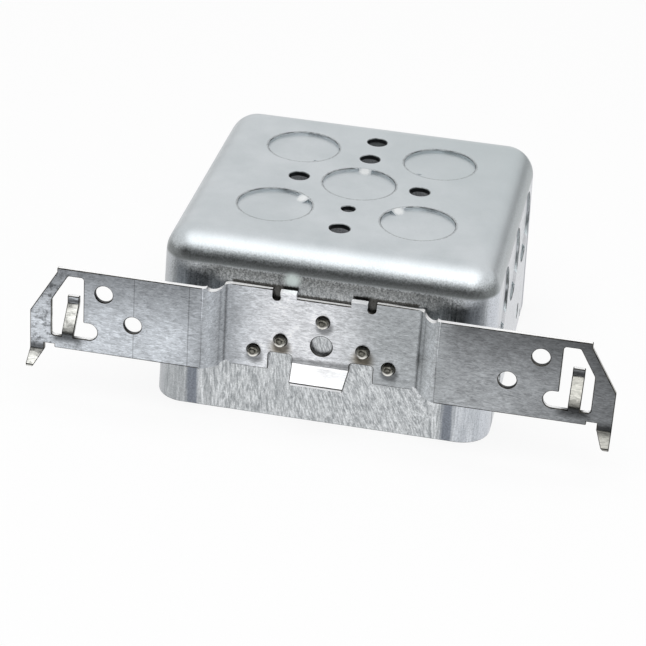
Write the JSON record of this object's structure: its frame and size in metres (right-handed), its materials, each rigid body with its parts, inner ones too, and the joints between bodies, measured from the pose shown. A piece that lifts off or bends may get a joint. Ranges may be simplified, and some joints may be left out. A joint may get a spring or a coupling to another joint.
{
  "type": "square electrical outlet box with stud bracket",
  "caption": "Drawn galvanised steel outlet box, square, with knockouts in its back and sides and a folded bracket riveted to one wall that straps it to a stud.",
  "frame": {"origin": "centre of the open front, in the plane of the rim, midway between the two cover screw holes", "axes": "+Z from the open front to the back panel, X along the bracket's arms, the bracket on the -Y wall"},
  "size_m": [0.1738, 0.1132, 0.0556],
  "materials": {
    "box_steel": "drawn galvanised sheet, satin",
    "bracket_steel": "folded galvanised sheet, fine rolling grain",
    "rivet_steel": "zinc-plated rivet, dull"
  },
  "bodies": {
    "root": {"box_shell": "box_steel", "stud_bracket": "bracket_steel", "bracket_rivets": "rivet_steel"}
  },
  "joints": []
}
